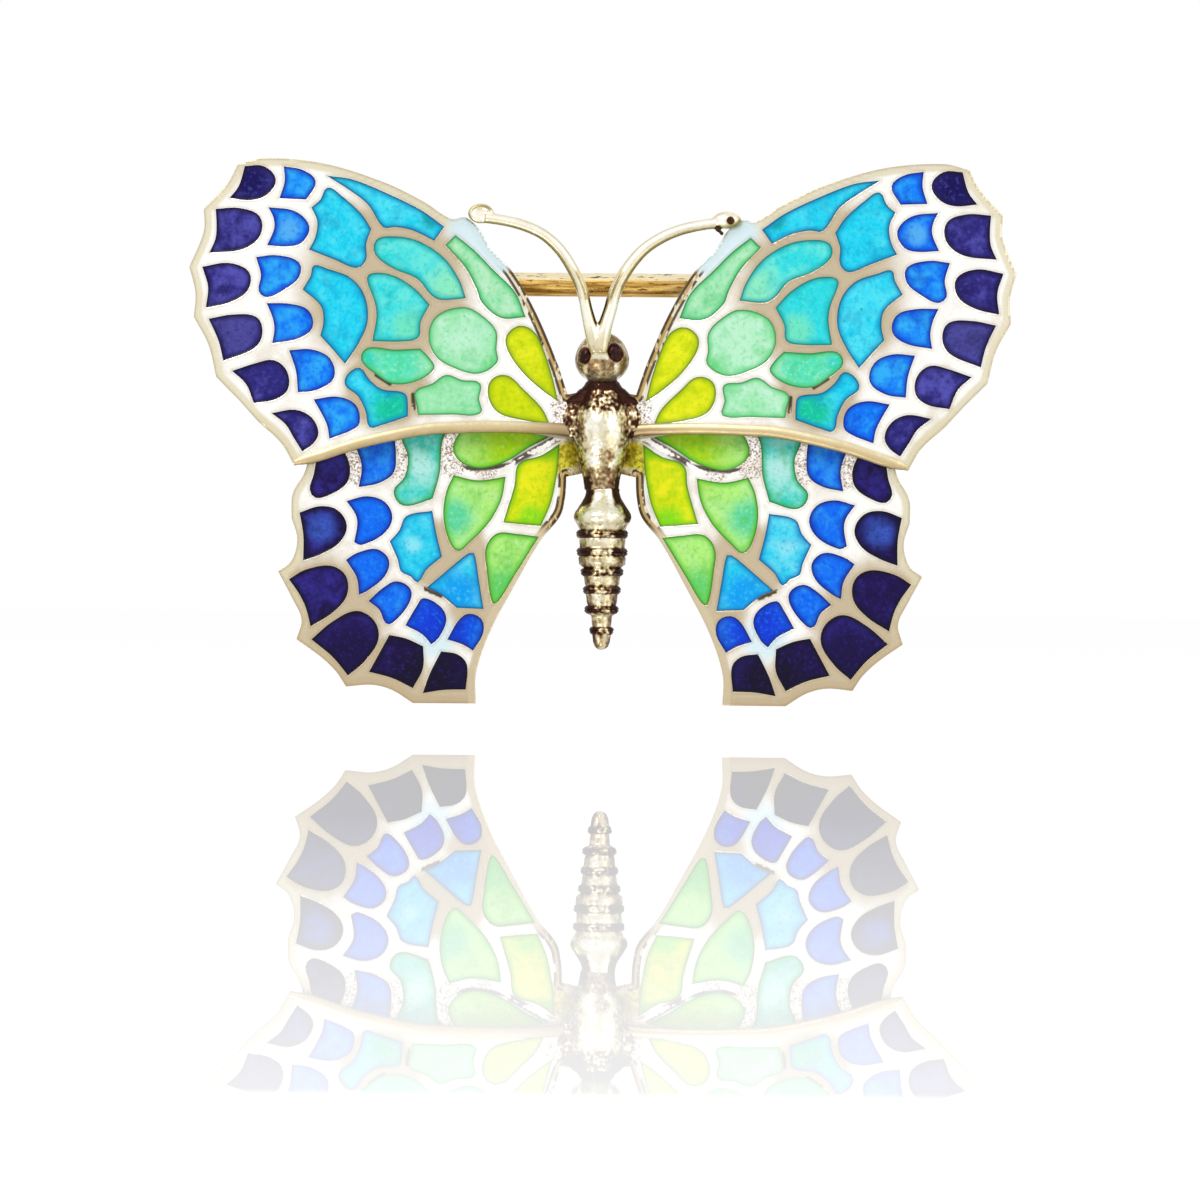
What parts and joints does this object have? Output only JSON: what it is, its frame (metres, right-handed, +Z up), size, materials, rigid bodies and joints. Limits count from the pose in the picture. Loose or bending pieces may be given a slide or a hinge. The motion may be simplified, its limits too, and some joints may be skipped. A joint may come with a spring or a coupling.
{
  "type": "butterfly brooch",
  "caption": "Enamelled silver butterfly brooch with curved fore and hind wings in coloured cells, ringed body, antennae, hinged gilt pin and turning safety catch.",
  "frame": {"origin": "middle of the pin stem's axis, between hinge and catch, with the pin closed", "axes": "+X to the viewer's right along the pin, +Y away from the viewer towards the garment, +Z up as worn"},
  "size_m": [0.0414, 0.006, 0.0273],
  "materials": {
    "silver": "polished silver with slight tarnish",
    "body_silver": "cast silver, polished on the high places and dark in the recesses",
    "pin_gold": "drawn gilt wire with fine lengthwise marks",
    "eye_red": "glossy",
    "enamel_yellow": "glossy glass enamel",
    "enamel_mint": "glossy glass enamel",
    "enamel_green": "glossy glass enamel",
    "enamel_turquoise": "glossy glass enamel",
    "enamel_cyan": "glossy glass enamel",
    "enamel_blue": "glossy glass enamel",
    "enamel_navy": "glossy glass enamel"
  },
  "bodies": {
    "brooch": {"fore_frame_left": "silver", "hind_frame_left": "silver", "antenna_left": "silver", "eye_left": "eye_red", "fore_frame_right": "silver", "hind_frame_right": "silver", "antenna_right": "silver", "eye_right": "eye_red", "fore_left_yellow": "enamel_yellow", "fore_left_mint": "enamel_mint", "fore_left_green": "enamel_green", "fore_left_turquoise": "enamel_turquoise", "fore_left_cyan": "enamel_cyan", "fore_left_blue": "enamel_blue", "fore_left_navy": "enamel_navy", "fore_right_yellow": "enamel_yellow", "fore_right_mint": "enamel_mint", "fore_right_green": "enamel_green", "fore_right_turquoise": "enamel_turquoise", "fore_right_cyan": "enamel_cyan", "fore_right_blue": "enamel_blue", "fore_right_navy": "enamel_navy", "hind_left_yellow": "enamel_yellow", "hind_left_green": "enamel_green", "hind_left_turquoise": "enamel_turquoise", "hind_left_cyan": "enamel_cyan", "hind_left_blue": "enamel_blue", "hind_left_navy": "enamel_navy", "hind_right_yellow": "enamel_yellow", "hind_right_green": "enamel_green", "hind_right_turquoise": "enamel_turquoise", "hind_right_cyan": "enamel_cyan", "hind_right_blue": "enamel_blue", "hind_right_navy": "enamel_navy", "head": "body_silver", "thorax": "body_silver", "abdomen": "body_silver", "hinge_base": "silver", "hinge_rivet": "silver", "catch_body": "silver"},
    "pin": {"pin_stem": "pin_gold"},
    "rotor": {"catch_rotor": "silver"}
  },
  "joints": [
    {"name": "pin_hinge", "type": "hinge", "parent": "brooch", "child": "pin", "pos_m": [0.012, 0, 0], "axis": [0, 0, -1], "range_deg": [0, 100]},
    {"name": "catch_turn", "type": "hinge", "parent": "brooch", "child": "rotor", "pos_m": [-0.012, 0, 0], "axis": [1, 0, 0], "range_deg": [0, 100]}
  ]
}
